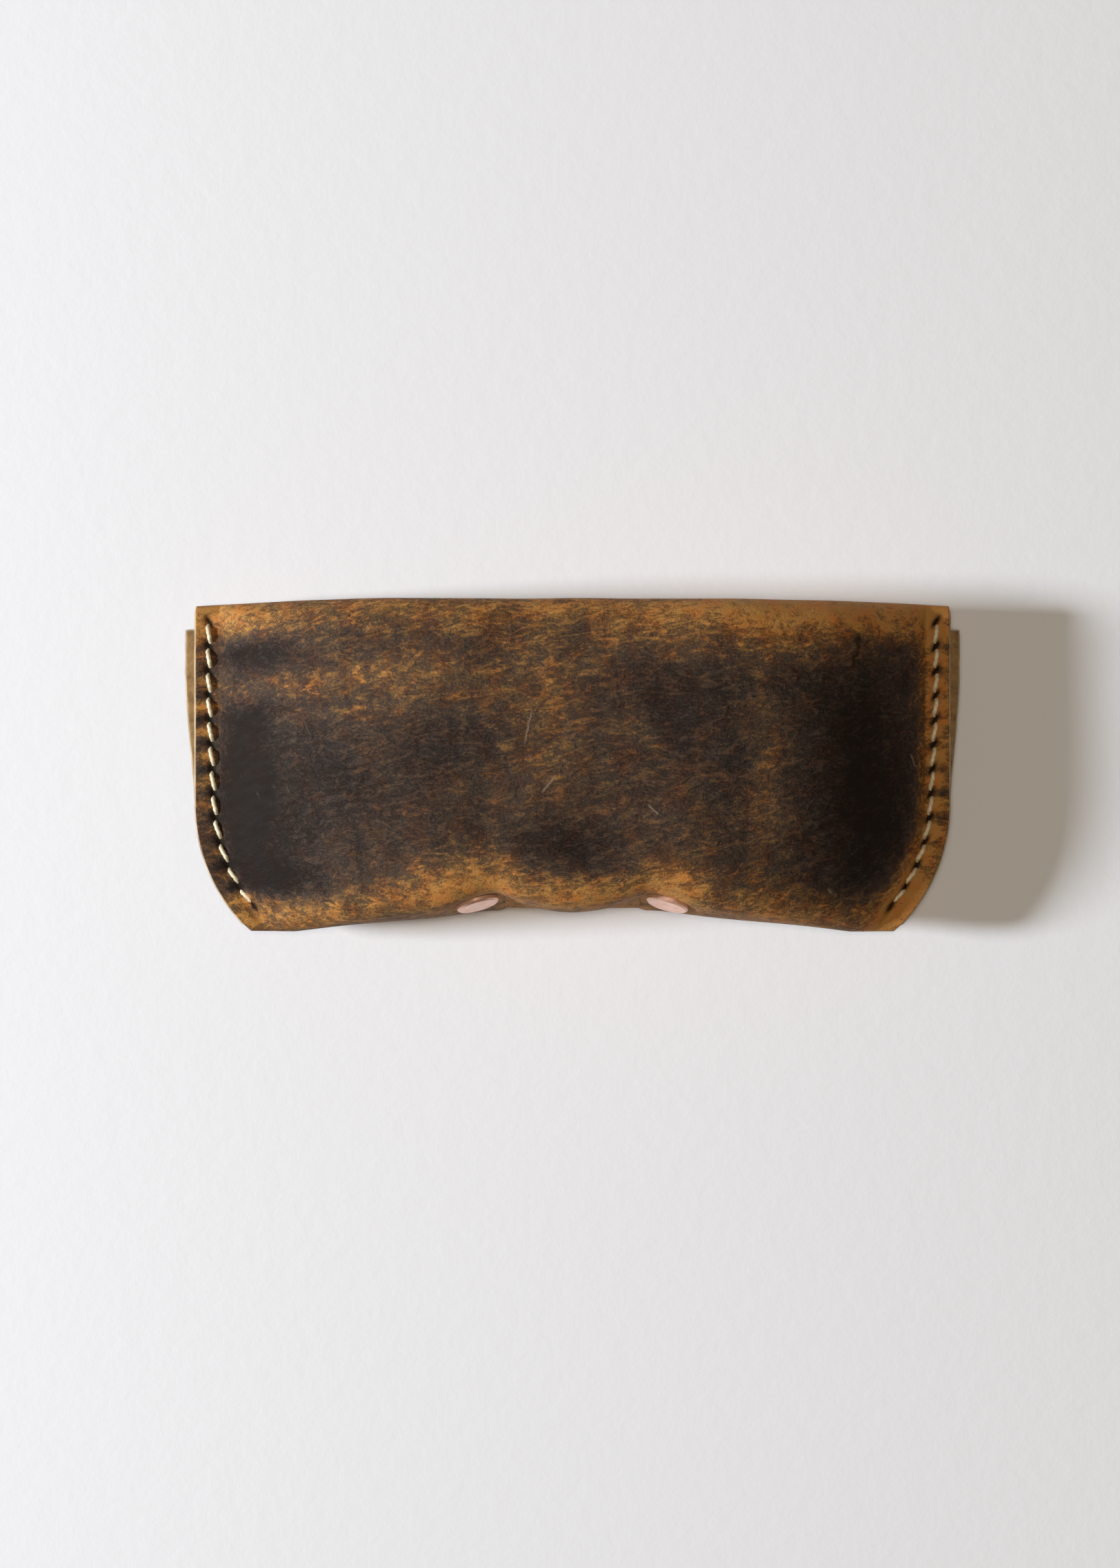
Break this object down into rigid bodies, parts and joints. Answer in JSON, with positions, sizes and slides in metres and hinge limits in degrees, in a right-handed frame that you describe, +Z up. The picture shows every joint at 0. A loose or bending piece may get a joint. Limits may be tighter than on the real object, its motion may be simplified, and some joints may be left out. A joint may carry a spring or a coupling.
{
  "type": "soft pouch glasses case",
  "caption": "Soft leather glasses pouch with hand-stitched sides and a fold-over flap whose tongue tucks into a slot between copper rivets.",
  "frame": {"origin": "on the surface that the pouch lies on, under the middle of its bounding box", "axes": "+X along the pouch, +Y towards the fold where the back turns over into the flap, +Z up out of the back panel; the flap side is down"},
  "size_m": [0.173, 0.0742, 0.038],
  "materials": {
    "leather": "waxed pull-up leather, worn tan on the folds",
    "thread": "waxed natural thread",
    "copper": "satin copper"
  },
  "bodies": {
    "pouch": {"pouch_leather": "leather", "thread_left": "thread", "thread_right": "thread", "rivet_left": "copper", "rivet_right": "copper", "burr_left": "copper", "burr_right": "copper"},
    "flap": {"flap_leather": "leather"}
  },
  "joints": [
    {"name": "flap_open", "type": "hinge", "parent": "pouch", "child": "flap", "pos_m": [0, 0.03725, 0.014], "axis": [1, 0, 0], "range_deg": [0, 180]}
  ]
}
